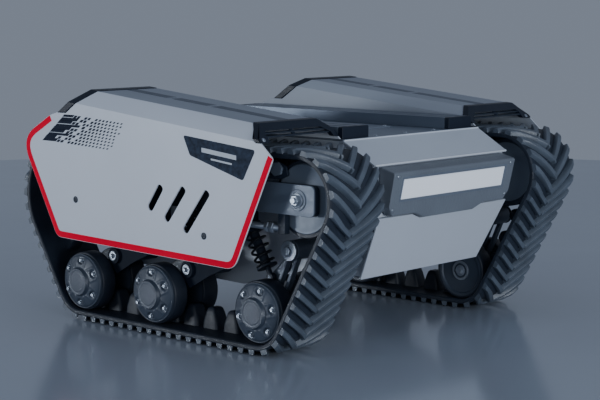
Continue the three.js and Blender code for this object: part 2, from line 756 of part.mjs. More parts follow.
for (const [name, side] of SIDES) {
  const [idlerX, idlerZ] = WRAP_IDLER;
  const [sprocketX, sprocketZ] = WRAP_SPROCKET;
  addPart(`side_cover_${name}`, sideCover(side), MATERIALS.coverPaint);
  addPart(`fender_cap_front_${name}`, fenderCap(FRONT_CAP, side), MATERIALS.blackPlastic);
  addPart(`fender_cap_rear_${name}`, fenderCap(REAR_CAP, side), MATERIALS.blackPlastic);
  addPart(`deck_rail_${name}`, deckRail(side), MATERIALS.greyPlastic);
  addPart(`track_${name}`, track(side), MATERIALS.rubber);
  addPart(`track_frame_${name}`, trackFrame(side), MATERIALS.darkPaint);
  addPart(`drive_motor_${name}`, driveMotor(side), MATERIALS.steel);
  addPart(`sprocket_${name}`, sprocket(side), MATERIALS.steel, [sprocketX, 0, sprocketZ]);
  addPart(`idler_bracket_${name}`, idlerBracket(side), MATERIALS.platePaint);
  addPart(`idler_wheel_${name}`, idlerWheel(side), MATERIALS.discPaint, [idlerX, 0, idlerZ]);
  for (const [number, station] of Object.entries(STATIONS)) {
    const label = `${number}_${name}`;
    const tubeOuterY = number === "3" ? 360 : ARM_Y[1];
    const hub = [station.wheelX, 0, ROAD_WHEEL_Z];
    const arm = swingArm(station, side, tubeOuterY);
    addPart(`swing_arm_${label}`, arm, MATERIALS.darkPaint, [station.pivot[0], 0, station.pivot[1]]);
    addPart(`road_wheel_${label}`, roadWheel(side), MATERIALS.rubber, hub);
    addPart(`hub_cap_${label}`, hubCap(side), MATERIALS.greyPlastic, hub);
    addOnDamper(`damper_${label}`, damper(station), MATERIALS.darkPaint, station, side);
    addOnDamper(`spring_${label}`, spring(station), MATERIALS.springSteel, station, side);
  }
}

export default model;
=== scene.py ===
"""Looks of the tracked robot chassis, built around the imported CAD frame.

Shapes are worked out in millimetres and turned into metres when a piece is made.
"""

import json
import math

import bmesh
import bpy
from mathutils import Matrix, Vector

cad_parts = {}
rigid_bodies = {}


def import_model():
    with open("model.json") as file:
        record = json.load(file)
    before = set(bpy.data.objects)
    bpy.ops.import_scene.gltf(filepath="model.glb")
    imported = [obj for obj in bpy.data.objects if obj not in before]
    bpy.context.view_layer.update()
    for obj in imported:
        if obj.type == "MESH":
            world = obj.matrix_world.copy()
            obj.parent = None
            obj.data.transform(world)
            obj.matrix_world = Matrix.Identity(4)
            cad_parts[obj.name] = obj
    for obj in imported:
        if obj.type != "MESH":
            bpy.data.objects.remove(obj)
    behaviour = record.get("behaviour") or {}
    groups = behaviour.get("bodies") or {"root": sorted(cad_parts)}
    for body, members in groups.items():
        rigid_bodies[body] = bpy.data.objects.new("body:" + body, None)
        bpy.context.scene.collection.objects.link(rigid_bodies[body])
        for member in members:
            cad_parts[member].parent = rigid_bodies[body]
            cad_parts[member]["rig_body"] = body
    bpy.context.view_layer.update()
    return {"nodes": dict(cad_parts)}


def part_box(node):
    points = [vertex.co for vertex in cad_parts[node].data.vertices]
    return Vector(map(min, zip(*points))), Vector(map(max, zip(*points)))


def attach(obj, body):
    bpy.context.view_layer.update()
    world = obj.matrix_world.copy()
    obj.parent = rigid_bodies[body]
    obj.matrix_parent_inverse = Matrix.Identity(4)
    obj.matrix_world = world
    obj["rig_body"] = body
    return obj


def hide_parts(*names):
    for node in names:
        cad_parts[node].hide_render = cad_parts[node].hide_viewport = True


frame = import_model()

MM = 0.001
SIDES = {"left": 1, "right": -1}
STATIONS = (1, 2, 3)


# ---------- camera, light and colour

CAMERA_PLACE = (2.3951, -2.6224, 0.6999)
CAMERA_AZIMUTH = 42.339
CAMERA_DROP = 7.164
CAMERA_LENS = 94.88


def add_camera():
    camera = bpy.data.objects.new("camera", bpy.data.cameras.new("camera"))
    camera.data.lens = CAMERA_LENS
    camera.data.clip_end = 60
    camera.location = CAMERA_PLACE
    camera.rotation_euler = (
        math.radians(90 - CAMERA_DROP), 0, math.radians(CAMERA_AZIMUTH))
    bpy.context.scene.collection.objects.link(camera)
    bpy.context.scene.camera = camera


def add_light(name, place, target, size, power):
    """A rectangular lamp at a place, facing a target. Sizes and places are in metres."""
    lamp = bpy.data.lights.new(name, "AREA")
    lamp.shape = "RECTANGLE"
    lamp.size, lamp.size_y = size
    lamp.energy = power
    lamp.color = LAMP_COLOUR
    holder = bpy.data.objects.new(name, lamp)
    holder.location = place
    aim = Vector(target) - Vector(place)
    holder.rotation_euler = aim.to_track_quat("-Z", "Y").to_euler()
    bpy.context.scene.collection.objects.link(holder)


def linear(red, green, blue):
    """A screen colour, 0 to 255, as the linear colour that shaders use."""
    def channel(value):
        share = value / 255
        return share / 12.92 if share <= 0.04045 else ((share + 0.055) / 1.055) ** 2.4
    return tuple(channel(value) for value in (red, green, blue))


# ---------- materials

def noise(tree, place, scale, detail):
    node = tree.nodes.new("ShaderNodeTexNoise")
    node.inputs["Scale"].default_value = scale
    node.inputs["Detail"].default_value = detail
    tree.links.new(place.outputs["Object"], node.inputs["Vector"])
    return node


def surface(name, colour, rough, metal=0.0, vary=0.08, clouds=7.0, grain=1400.0, bump=0.12,
            grain_depth=0.0003, coat=0.0, spread=0.08, glow=0.0, shine=0.5, stretch=(1, 1, 1)):
    """A paint, plastic or metal: cloudy tone, uneven roughness and a fine grain.

    A lower shine dims the mirror-like part. The grain runs long along the directions whose
    stretch is small.
    """
    material = bpy.data.materials.new(name)
    material.use_nodes = True
    tree = material.node_tree
    shader = tree.nodes["Principled BSDF"]
    shader.inputs["Metallic"].default_value = metal
    shader.inputs["Specular IOR Level"].default_value = shine
    shader.inputs["Coat Weight"].default_value = coat
    shader.inputs["Coat Roughness"].default_value = 0.25
    shader.inputs["Emission Color"].default_value = (*linear(*colour), 1)
    shader.inputs["Emission Strength"].default_value = glow
    place = tree.nodes.new("ShaderNodeTexCoord")
    cloud = noise(tree, place, clouds, 6.0)
    tone = tree.nodes.new("ShaderNodeValToRGB")
    base = linear(*colour)
    tone.color_ramp.elements[0].position = 0.3
    tone.color_ramp.elements[1].position = 0.7
    tone.color_ramp.elements[0].color = (*(c * (1 - vary) for c in base), 1)
    tone.color_ramp.elements[1].color = (*(min(1, c * (1 + vary)) for c in base), 1)
    tree.links.new(cloud.outputs["Fac"], tone.inputs["Fac"])
    tree.links.new(tone.outputs["Color"], shader.inputs["Base Color"])
    smear = noise(tree, place, clouds * 5, 3.0)
    level = tree.nodes.new("ShaderNodeMapRange")
    level.inputs["To Min"].default_value = max(0.02, rough - spread)
    level.inputs["To Max"].default_value = min(1.0, rough + spread)
    tree.links.new(smear.outputs["Fac"], level.inputs["Value"])
    tree.links.new(level.outputs["Result"], shader.inputs["Roughness"])
    fine = noise(tree, place, grain, 2.0)
    drawn = tree.nodes.new("ShaderNodeMapping")
    drawn.inputs["Scale"].default_value = stretch
    tree.links.new(place.outputs["Object"], drawn.inputs["Vector"])
    tree.links.new(drawn.outputs["Vector"], fine.inputs["Vector"])
    relief = tree.nodes.new("ShaderNodeBump")
    relief.inputs["Strength"].default_value = bump
    relief.inputs["Distance"].default_value = grain_depth
    tree.links.new(fine.outputs["Fac"], relief.inputs["Height"])
    tree.links.new(relief.outputs["Normal"], shader.inputs["Normal"])
    return material


# painted shade: a darker grey for the cover's top and inward faces, standing in for the weak
# light they get
COVER_SHADE_GREY = surface("cover_painted_shade_grey", (162, 170, 182), 0.5, vary=0.03, clouds=3.0,
                         bump=0.1, shine=0.3)
COVER_WHITE = surface("cover_white", (208, 215, 226), 0.42, vary=0.03, clouds=3.0, bump=0.1)
PLATE_GREY = surface("plate_grey", (200, 208, 220), 0.36, metal=0.1, vary=0.03, clouds=3.0)
DECK_GREY = surface("deck_grey", (126, 137, 152), 0.4, metal=0.2, vary=0.05, clouds=5.0)
STRIPE_RED = surface("stripe_red", (244, 0, 56), 0.6, vary=0.06, grain=500.0, bump=0.3,
                     shine=0.02)
DECAL_DARK = surface("decal_dark", (24, 34, 52), 0.6, vary=0.15, clouds=20.0, shine=0.1)
BADGE_GREY = surface("badge_grey", (46, 56, 73), 0.6, vary=0.5, clouds=90.0, grain=300.0,
                     bump=0.4, shine=0.1)
DECAL_LIGHT = surface("decal_light", (186, 195, 208), 0.45, vary=0.05)
BLACK_CAP = surface("black_cap", (22, 31, 46), 0.42, vary=0.12, grain=1800.0, bump=0.25,
                    shine=0.3)
LAMP_BODY = surface("lamp_body", (108, 116, 127), 0.4, vary=0.1, grain=420.0, bump=0.9,
                    grain_depth=0.0008, stretch=(1, 1, 0.02))
HUB_GREY = surface("hub_grey", (60, 70, 85), 0.44, metal=0.05, vary=0.1, clouds=20.0, bump=0.2)
DISC_GREY = surface("disc_grey", (108, 119, 134), 0.45, metal=0.15, vary=0.08, clouds=12.0)
DARK_STEEL = surface("dark_steel", (36, 46, 61), 0.5, vary=0.12, clouds=14.0, shine=0.3)
FRAME_DARK = surface("frame_dark", (24, 33, 47), 0.55, vary=0.12, clouds=10.0, shine=0.1)
ARM_GREY = surface("arm_grey", (98, 109, 125), 0.44, metal=0.15, vary=0.1, clouds=14.0)
ZINC = surface("zinc", (158, 167, 179), 0.36, metal=0.75, vary=0.1, clouds=60.0, grain=2600.0)
SPRING_BLACK = surface("spring_black", (20, 26, 37), 0.3, metal=0.2, vary=0.1, clouds=40.0)
LUG_RUBBER = surface("lug_rubber", (84, 94, 107), 0.38, vary=0.2, clouds=24.0, grain=700.0,
                     bump=0.6, grain_depth=0.0007, spread=0.12)
# painted shade: the belt and its horns are the same rubber as the lugs, darkened to stand in for
# the shade in the grooves
SHADED_BELT_RUBBER = surface("belt_rubber_painted_shade", (32, 41, 55), 0.5, vary=0.2, clouds=24.0, grain=700.0,
                      bump=0.6, grain_depth=0.0007)
TYRE = surface("tyre", (36, 44, 58), 0.5, vary=0.2, clouds=30.0, grain=900.0, bump=0.4)
RAIL_GREY = surface("rail_grey", (104, 115, 131), 0.36, metal=0.4, vary=0.05, clouds=10.0,
                    stretch=(0.03, 1, 1))
TOP_STRIPE = surface("top_stripe", (84, 95, 111), 0.45, vary=0.06)
LENS_WHITE = surface("lens_white", (236, 242, 252), 0.3, vary=0.01, clouds=30.0, coat=0.3,
                     glow=0.22)
CELL_BLUE = surface("cell_blue", (36, 66, 95), 0.35, vary=0.06)
BUTTON_RED = surface("button_red", (170, 20, 26), 0.25, vary=0.04, coat=0.4)


# ---------- shapes, in millimetres

class Shells:
    """Closed shells gathered into one piece."""

    def __init__(self):
        self.points = []
        self.faces = []

    def loft(self, loops, ring=False):
        """Joins loops of equal length. A ring joins its last loop to its first."""
        start = len(self.points)
        count = len(loops[0])
        rows = len(loops)
        for loop in loops:
            self.points.extend(loop)
        for i in range(rows if ring else rows - 1):
            low = start + i * count
            high = start + ((i + 1) % rows) * count
            for k in range(count):
                after = (k + 1) % count
                self.faces.append((low + k, low + after, high + after, high + k))
        if not ring:
            self.faces.append(tuple(range(start + count - 1, start - 1, -1)))
            last = start + (rows - 1) * count
            self.faces.append(tuple(range(last, last + count)))
        return self

    def prism(self, outline, side, near, far):
        """A side-view outline of (x, z) points between two distances from the middle."""
        return self.loft([[(x, side * y, z) for x, z in outline] for y in (near, far)])

    def chamfered(self, outline, side, near, far, edge):
        """A prism whose outer rim is chamfered."""
        inner = inset(outline, edge)
        return self.loft([
            [(x, side * near, z) for x, z in outline],
            [(x, side * (far - edge), z) for x, z in outline],
            [(x, side * far, z) for x, z in inner],
        ])

    def turn(self, profile, centre, side, count=48, ring=False, phase=0.0):
        """A profile of (radius, y) points turned about a line across the machine."""
        angles = [phase + 2 * math.pi * k / count for k in range(count)]
        return self.loft([
            [(centre[0] + r * math.cos(a), side * y, centre[1] + r * math.sin(a)) for a in angles]
            for r, y in profile
        ], ring)

    def sweep(self, path, section):
        """A section of (across, up) points carried along a path of 3-D points."""
        loops = []
        for i, point in enumerate(path):
            before = path[max(0, i - 1)]
            after = path[min(len(path) - 1, i + 1)]
            along = (after - before).normalized()
            across = along.orthogonal() if i == 0 else across - along * across.dot(along)
            across = across.normalized()
            up = along.cross(across)
            loops.append([tuple(point + across * a + up * b) for a, b in section])
        return self.loft(loops)


def circle(radius, count):
    """Evenly spaced points round a circle about the origin."""
    return [
        (radius * math.cos(2 * math.pi * k / count), radius * math.sin(2 * math.pi * k / count))
        for k in range(count)]


def rounded(points, steps=8):
    """A closed outline whose (a, b, radius) corners are rounded."""
    outline = []
    for i, corner in enumerate(points):
        spot = Vector(corner[:2])
        radius = corner[2] if len(corner) > 2 else 0
        if radius == 0:
            outline.append(tuple(spot))
            continue
        before = (Vector(points[i - 1][:2]) - spot).normalized()
        after = (Vector(points[(i + 1) % len(points)][:2]) - spot).normalized()
        reach = radius / math.tan(before.angle(after) / 2)
        start = spot + before * reach
        end = spot + after * reach
        for k in range(steps + 1):
            t = k / steps
            outline.append(tuple(start * (1 - t) ** 2 + spot * 2 * t * (1 - t) + end * t * t))
    return outline


NO_LENGTH = 1e-6
SHARPEST_MITRE = 0.5


def signed_area(outline):
    """The area an outline encloses, positive where it runs anticlockwise."""
    return sum(
        ax * bz - bx * az for (ax, az), (bx, bz) in zip(outline, outline[1:] + outline[:1])) / 2


def offset_line(points, distance, closed):
    """Each point moved to the left of the way the line runs."""
    moved = []
    last = len(points) - 1
    for i, point in enumerate(points):
        before = Vector(points[i - 1] if closed or i > 0 else points[0])
        after = Vector(points[(i + 1) % len(points)] if closed or i < last else points[last])
        here = Vector(point)
        ins = (here - before) if (here - before).length > NO_LENGTH else (after - here)
        outs = (after - here) if (after - here).length > NO_LENGTH else ins
        ins, outs = ins.normalized(), outs.normalized()
        left = Vector((-ins.y - outs.y, ins.x + outs.x))
        left = left.normalized() if left.length > NO_LENGTH else Vector((-ins.y, ins.x))
        stretch = max(SHARPEST_MITRE, left.dot(Vector((-outs.y, outs.x))))
        moved.append(tuple(here + left * distance / stretch))
    return moved


def inset(outline, distance):
    inward = distance if signed_area(outline) > 0 else -distance
    return offset_line(outline, inward, True)


def strap(start, end, half):
    """The outline of a straight strip between two points."""
    along = (Vector(end) - Vector(start)).normalized()
    nx, nz = -along.y * half, along.x * half
    return [
        (start[0] + nx, start[1] + nz), (end[0] + nx, end[1] + nz),
        (end[0] - nx, end[1] - nz), (start[0] - nx, start[1] - nz)]


SHARP_ANGLE = 32
WELD_DISTANCE = 0.02
FLAT_ANGLE = 0.6


def shade(mesh, angle):
    mesh.polygons.foreach_set("use_smooth", [True] * len(mesh.polygons))
    mesh.set_sharp_from_angle(angle=math.radians(angle))


def add_bevel(thing, width):
    bevel = thing.modifiers.new("bevel", "BEVEL")
    bevel.width = width * MM
    bevel.segments = 2
    bevel.limit_method = "ANGLE"
    bevel.angle_limit = math.radians(SHARP_ANGLE)
    bevel.harden_normals = True


def place_piece(thing, material, body, replaced):
    thing.data.materials.append(material)
    bpy.context.scene.collection.objects.link(thing)
    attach(thing, body)
    if replaced:
        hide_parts(*replaced)
    return thing


def piece(name, shells, material, body, replaced=(), bevel=0.0, angle=38):
    """Shells as one named piece that rides a body, and may stand for CAD nodes."""
    mesh = bpy.data.meshes.new(name)
    points = [(x * MM, y * MM, z * MM) for x, y, z in shells.points]
    mesh.from_pydata(points, [], shells.faces)
    tidy = bmesh.new()
    tidy.from_mesh(mesh)
    bmesh.ops.recalc_face_normals(tidy, faces=tidy.faces)
    tidy.to_mesh(mesh)
    tidy.free()
    shade(mesh, angle)
    thing = bpy.data.objects.new(name, mesh)
    if bevel:
        add_bevel(thing, bevel)
    return place_piece(thing, material, body, replaced)


def refined(node, material, bevel, second=None, chosen=None):
    """The CAD node's own shape with its edges eased, standing for that node.

    Where a second material is given, the faces that the chosen rule picks take it.
    """
    source = frame["nodes"][node]
    mesh = source.data.copy()
    mesh.name = f"{node}_fine"
    mesh.materials.clear()
    tidy = bmesh.new()
    tidy.from_mesh(mesh)
    bmesh.ops.remove_doubles(tidy, verts=tidy.verts, dist=WELD_DISTANCE * MM)
    bmesh.ops.dissolve_limit(
        tidy, angle_limit=math.radians(FLAT_ANGLE), verts=tidy.verts, edges=tidy.edges)
    tidy.to_mesh(mesh)
    tidy.free()
    shade(mesh, SHARP_ANGLE)
    thing = bpy.data.objects.new(f"{node}_fine", mesh)
    add_bevel(thing, bevel)
    place_piece(thing, material, source["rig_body"], (node,))
    if second:
        mesh.materials.append(second)
        for face in mesh.polygons:
            face.material_index = int(chosen(face))
    return thing


def middle(node):
    """The middle of a CAD node's box in side view, in millimetres."""
    low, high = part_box(node)
    return ((low.x + high.x) / 2 / MM, (low.z + high.z) / 2 / MM)


def hex_bolt(shells, centre, side, seat, size, height=4.0, turn=0.3):
    """A flanged hexagon head standing on a face at a distance from the middle."""
    flange = size * 1.25
    shells.turn([(flange, seat), (flange, seat + 1.0), (flange * 0.92, seat + 1.5)],
                centre, side, 20)
    shells.turn([
        (size, seat + 1.2), (size, seat + height - 0.6), (size * 0.88, seat + height)],
        centre, side, 6, phase=turn)


def nut_stack(shells, centre, side, seat):
    """A nut on its washer, and the end of its stud."""
    shells.turn([(14, seat), (14, seat + 2.6), (13, seat + 3.2)], centre, side, 40)
    shells.turn([(11.5, seat + 2.8), (11.5, seat + 10.5), (10, seat + 12)], centre, side, 6)
    shells.turn([(6.5, seat + 10), (6.5, seat + 15), (5.6, seat + 16)], centre, side, 20)


# ---------- tracks

ROAD_WRAP = 65
IDLER_WRAP = 78
SPROCKET_WRAP = 128
REAR_WRAP_BACKSET = 4.5
BELT_NEAR, BELT_FAR = 261, 411
BELT_THICKNESS = 11
BELT_MIDDLE = (BELT_NEAR + BELT_FAR) / 2
BELT_HALF = (BELT_FAR - BELT_NEAR) / 2
ARC_STEP, LINE_STEP = 5, 40
LUG_PITCH = 30
FIRST_HORN_X = -228.3
CHEVRON_RISE = 50
CHEVRON_CUTS = 8
CHEVRON_OVERLAP = 3
LUG_END_DROP = 2.5
LUG_SECTION = ((-8.0, 9.5), (-6.0, 20.4), (-4.5, 22), (4.5, 22), (6.0, 20.4), (8.0, 9.5))
LUG_TOP_ABOVE = 15
HORN_LOOPS = ((-2, 23, 19), (14, 21, 18.6), (34, 13.5, 16.5), (41, 10.5, 14.5), (44, 7, 11))
HORN_ROUNDING = 0.45


def belt_pieces():
    """The belt's inner face as arcs and straight runs, from under the front road wheel up."""
    front = middle("road_wheel_3_left")
    idler = middle("idler_wheel_left")
    sprocket = middle("sprocket_left")
    rear = middle("road_wheel_1_left")
    circles = [
        (*front, ROAD_WRAP), (*idler, IDLER_WRAP), (*sprocket, SPROCKET_WRAP),
        (rear[0] - REAR_WRAP_BACKSET, rear[1], ROAD_WRAP)]
    normals = []
    for i, (ax, az, ar) in enumerate(circles):
        bx, bz, br = circles[(i + 1) % 4]
        span = math.hypot(bx - ax, bz - az)
        ux, uz = (bx - ax) / span, (bz - az) / span
        lean = (ar - br) / span
        out = math.sqrt(1 - lean * lean)
        normals.append((ux * lean + uz * out, uz * lean - ux * out))
    pieces = []
    for i, (cx, cz, r) in enumerate(circles):
        start = math.atan2(normals[i - 1][1], normals[i - 1][0])
        end = math.atan2(normals[i][1], normals[i][0])
        if end < start:
            end += 2 * math.pi
        pieces.append(("arc", r * (end - start), (cx, cz, r, start)))
        nx, nz, nr = circles[(i + 1) % 4]
        from_x, from_z = cx + r * normals[i][0], cz + r * normals[i][1]
        to_x, to_z = nx + nr * normals[i][0], nz + nr * normals[i][1]
        length = math.hypot(to_x - from_x, to_z - from_z)
        pieces.append(("line", length, (from_x, from_z, to_x, to_z, normals[i])))
    return pieces


BELT = belt_pieces()
BELT_LENGTH = sum(length for _, length, _ in BELT)
LUG_COUNT = 2 * round(BELT_LENGTH / (2 * LUG_PITCH))
LUG_STEP = BELT_LENGTH / LUG_COUNT
FIRST_HORN = FIRST_HORN_X - middle("road_wheel_3_left")[0]


def on_belt(distance, lift):
    """The (x, z) point at a distance along the belt, lifted outward from its inner face."""
    rest = distance % BELT_LENGTH
    for kind, length, facts in BELT:
        if rest <= length:
            break
        rest -= length
    if kind == "arc":
        cx, cz, r, start = facts
        angle = start + rest / r
        return cx + (r + lift) * math.cos(angle), cz + (r + lift) * math.sin(angle)
    from_x, from_z, to_x, to_z, normal = facts
    share = rest / length
    return (from_x + (to_x - from_x) * share + normal[0] * lift,
            from_z + (to_z - from_z) * share + normal[1] * lift)


def belt_stations():
    """Distances along the belt for its cross-sections, closer together on the arcs."""
    stations = []
    travelled = 0.0
    for kind, length, _ in BELT:
        count = max(2, round(length / (ARC_STEP if kind == "arc" else LINE_STEP)))
        stations.extend(travelled + length * k / count for k in range(count))
        travelled += length
    return stations


def belt_loop(side, distance, section):
    """A section of (y, along, lift) points laid on the belt at a distance along it."""
    loop = []
    for y, along, lift in section:
        x, z = on_belt(distance + along, lift)
        loop.append((x, side * y, z))
    return loop


def add_track(name, side):
    """The belt with its guide horns, and the lugs as a piece of their own."""
    near, far, thick = BELT_NEAR, BELT_FAR, BELT_THICKNESS
    section = [
        (near + 2, 0, 0), (near, 0, 2), (near, 0, thick - 3), (near + 2.5, 0, thick),
        (far - 2.5, 0, thick), (far, 0, thick - 3), (far, 0, 2), (far - 2, 0, 0)]
    shells = Shells().loft(
        [belt_loop(side, station, section) for station in belt_stations()], ring=True)
    lugs = Shells()
    for i in range(LUG_COUNT):
        add_chevron(lugs, side, FIRST_HORN + i * LUG_STEP)
        if i % 2 == 0:
            add_horn(shells, side, FIRST_HORN + i * LUG_STEP)
    # the belt's darker rubber is painted shade of the grooves between the lugs
    piece(f"track_{name}_fine", shells, SHADED_BELT_RUBBER, "root", (f"track_{name}",),
          angle=35)
    piece(f"track_lugs_{name}", lugs, LUG_RUBBER, "root", angle=35)


def add_chevron(shells, side, distance):
    """Two slanting bars that meet on the belt's middle line."""
    for way in (1, -1):
        loops = []
        for k in range(CHEVRON_CUTS + 1):
            reach = -CHEVRON_OVERLAP + (BELT_HALF + CHEVRON_OVERLAP) * k / CHEVRON_CUTS
            slide = CHEVRON_RISE * (reach / BELT_HALF - 0.5)
            drop = LUG_END_DROP if k == CHEVRON_CUTS else 0
            y = BELT_MIDDLE + way * reach
            loops.append(belt_loop(side, distance + slide, [
                (y, along, lift - drop if lift > LUG_TOP_ABOVE else lift)
                for along, lift in LUG_SECTION]))
        shells.loft(loops)


def add_horn(shells, side, distance):
    """A guide horn standing inward from the belt, square to it at its own place."""
    base_x, base_z = on_belt(distance, 0)
    next_x, next_z = on_belt(distance + 1, 0)
    span = math.hypot(next_x - base_x, next_z - base_z)
    ux, uz = (next_x - base_x) / span, (next_z - base_z) / span
    loops = []
    for height, long, wide in HORN_LOOPS:
        corner = HORN_ROUNDING * min(long, wide)
        outline = rounded([
            (-long, -wide, corner), (long, -wide, corner), (long, wide, corner),
            (-long, wide, corner)], 3)
        loops.append([
            (base_x + ux * along - uz * height, side * (BELT_MIDDLE + across),
             base_z + uz * along + ux * height)
            for along, across in outline])
    shells.loft(loops)


# ---------- road wheels

CAP_BACK = 396.4
CAP_RIM = 402.5
CAP_RADIUS = 60.5
BOSS_FACE = 418
BOSS_RADIUS = 29
SCREW_CIRCLE = 47.5
POCKET_FLOOR = 404.6
POCKET_HALF = 8.6
POCKET_REACH = 57.5
DOME_RISE, DOME_RADIUS, DOME_POWER = 10.5, 59, 2.6
RIB_RISE, RIB_OFFSET, RIB_HALF = 0.9, 13, 2.4
RIB_START, RIB_END = 35, 54
EDGE_DROP, EDGE_START, EDGE_END = 1.3, 56.4, 58.6
GROOVE_DEPTH, GROOVE_INNER, GROOVE_OUTER = 0.5, 22.5, 24.5
CAP_COUNT = 144
CAP_TURNS = {1: 27, 2: 28, 3: 15}


def step_up(value, edge, soft=1.3):
    """0 below the edge and 1 above it, with a short smooth rise."""
    t = min(1.0, max(0.0, (value - edge) / soft + 0.5))
    return t * t * (3 - 2 * t)


def cap_height(r, angle):
    """The hub cap's moulded face: a ribbed dome with six screw pockets, and a flat boss."""
    sector = (angle / (math.pi / 3) + 0.5) % 1.0 - 0.5
    sideways = abs(r * math.sin(sector * math.pi / 3))
    outward = r * math.cos(sector * math.pi / 3)
    dome = CAP_RIM + DOME_RISE * (1 - (max(r, BOSS_RADIUS) / DOME_RADIUS) ** DOME_POWER)
    rib = step_up(RIB_HALF - abs(sideways - RIB_OFFSET), 0.0)
    dome += RIB_RISE * rib * step_up(r, RIB_START) * step_up(RIB_END, r)
    gap = math.hypot(sideways, min(0, outward - SCREW_CIRCLE))
    pocket = step_up(POCKET_HALF, gap) * step_up(POCKET_REACH, r)
    floor = min(dome, POCKET_FLOOR)
    face = dome + (floor - dome) * pocket
    face -= EDGE_DROP * step_up(r, EDGE_START) * step_up(EDGE_END, r)
    boss = step_up(BOSS_RADIUS + 1.5, r, 3.6)
    groove = step_up(GROOVE_OUTER, r) * step_up(r, GROOVE_INNER)
    return face + (BOSS_FACE - face) * boss - GROOVE_DEPTH * groove


def add_hub_cap(number, name, side, body):
    """The moulded cap with its six screws, turned as the wheel stands."""
    label = f"{number}_{name}"
    centre = middle(f"road_wheel_{label}")
    turn = math.radians(CAP_TURNS[number])
    angles = [2 * math.pi * k / CAP_COUNT for k in range(CAP_COUNT)]
    radii = [60.4, 59.6] + [59.0 - 58.2 * k / 56 for k in range(57)]
    rim = [[(CAP_RADIUS, y)] * CAP_COUNT for y in (CAP_BACK, CAP_RIM - 1.4)]
    field = [[(r, cap_height(r, a) - (0.6 if r > 60 else 0)) for a in angles] for r in radii]
    loops = [
        [(centre[0] + r * math.cos(a + turn), side * y, centre[1] + r * math.sin(a + turn))
         for (r, y), a in zip(loop, angles)]
        for loop in rim + field]
    shells = Shells().loft(loops)
    piece(f"hub_cap_{label}_fine", shells, HUB_GREY, body,
          (f"hub_cap_{label}",), angle=50)
    screws = Shells()
    for k in range(6):
        angle = math.pi / 3 * k + turn
        spot = (centre[0] + SCREW_CIRCLE * math.cos(angle),
                centre[1] + SCREW_CIRCLE * math.sin(angle))
        hex_bolt(screws, spot, side, POCKET_FLOOR - 0.4, 4.3, 5.6, angle)
    piece(f"hub_screws_{label}", screws, ZINC, body, bevel=0.25)


def add_road_wheel(number, name, side):
    """Two rubber tyres on a pair of discs, a bearing on the inner side, and the hub cap."""
    label = f"{number}_{name}"
    body = f"wheel_{label}"
    centre = middle(f"road_wheel_{label}")
    discs = Shells().turn([
        (26, 273.5), (50, 273.5), (53, 270.6), (58.5, 270.6), (58.5, 311.4), (52, 311.4),
        (20, 309), (12, 309), (12, 363), (20, 363), (52, 360.6), (58.5, 360.6), (58.5, 395.4),
        (30, 395.4)], centre, side, 64)
    discs.turn([(15.5, 271.4), (15.5, 274)], centre, side, 48)
    piece(f"wheel_discs_{label}", discs, HUB_GREY, body, angle=30)
    tyres = Shells()
    for near, far in ((270.2, 311.8), (360.2, 396.2)):
        tyres.turn([
            (58.4, near), (61.5, near), (63.6, near + 1.2), (64.2, near + 3.4),
            (64.2, far - 3.4), (63.6, far - 1.2), (61.5, far), (58.4, far)],
            centre, side, 72, ring=True)
    piece(f"tyres_{label}", tyres, TYRE, body, (f"road_wheel_{label}",), angle=50)
    bearing = Shells()
    bearing.turn([(17, 270.8), (22, 270.8), (22, 274), (17, 274)], centre, side, 48, ring=True)
    bearing.turn([(12.5, 272), (12.5, 270.2), (11, 269.6)], centre, side, 32)
    bearing.turn([(8.6, 271), (8.6, 266), (7.4, 265)], centre, side, 6, phase=0.3)
    piece(f"wheel_bearing_{label}", bearing, ZINC, body, bevel=0.2)
    add_hub_cap(number, name, side, body)


# ---------- idlers and tensioners

def add_idler(name, side):
    """The front wheel: two rubber rims on discs, with room for the belt's horns."""
    centre = middle(f"idler_wheel_{name}")
    body = f"idler_{name}"
    disc = Shells()
    disc.turn([
        (13, 377), (13, 384.4), (22, 384.4), (24, 386), (60, 386), (63, 387.2), (67, 387.2),
        (69, 385.4), (69, 377)], centre, side, 72, ring=True)
    disc.turn([(13, 287), (13, 296), (69, 296), (69, 287)], centre, side, 64, ring=True)
    disc.turn([(13, 305), (13, 366), (23.5, 366), (23.5, 305)], centre, side, 48, ring=True)
    piece(f"idler_disc_{name}", disc, DISC_GREY, body, angle=30)
    tyre = Shells()
    for near, far in ((286.4, 311.6), (360.4, 384)):
        tyre.turn([
            (66, near), (75, near), (77.2, near + 2), (77.2, far - 3), (75, far), (69.2, far),
            (66, far - 8)], centre, side, 80, ring=True)
        tyre.turn([(23, near + 6), (23, far - 8), (68, far - 8), (68, near + 6)],
                  centre, side, 48, ring=True)
    piece(f"idler_tyre_{name}", tyre, TYRE, body, (f"idler_wheel_{name}",), angle=45)


ROD_Y, ROD_Z = 397, 262
ROD_FRONT = 318
THREADS = 38
THREAD_CREST, THREAD_ROOT = 6.9, 6.0
LOCK_NUTS = (284, 297)


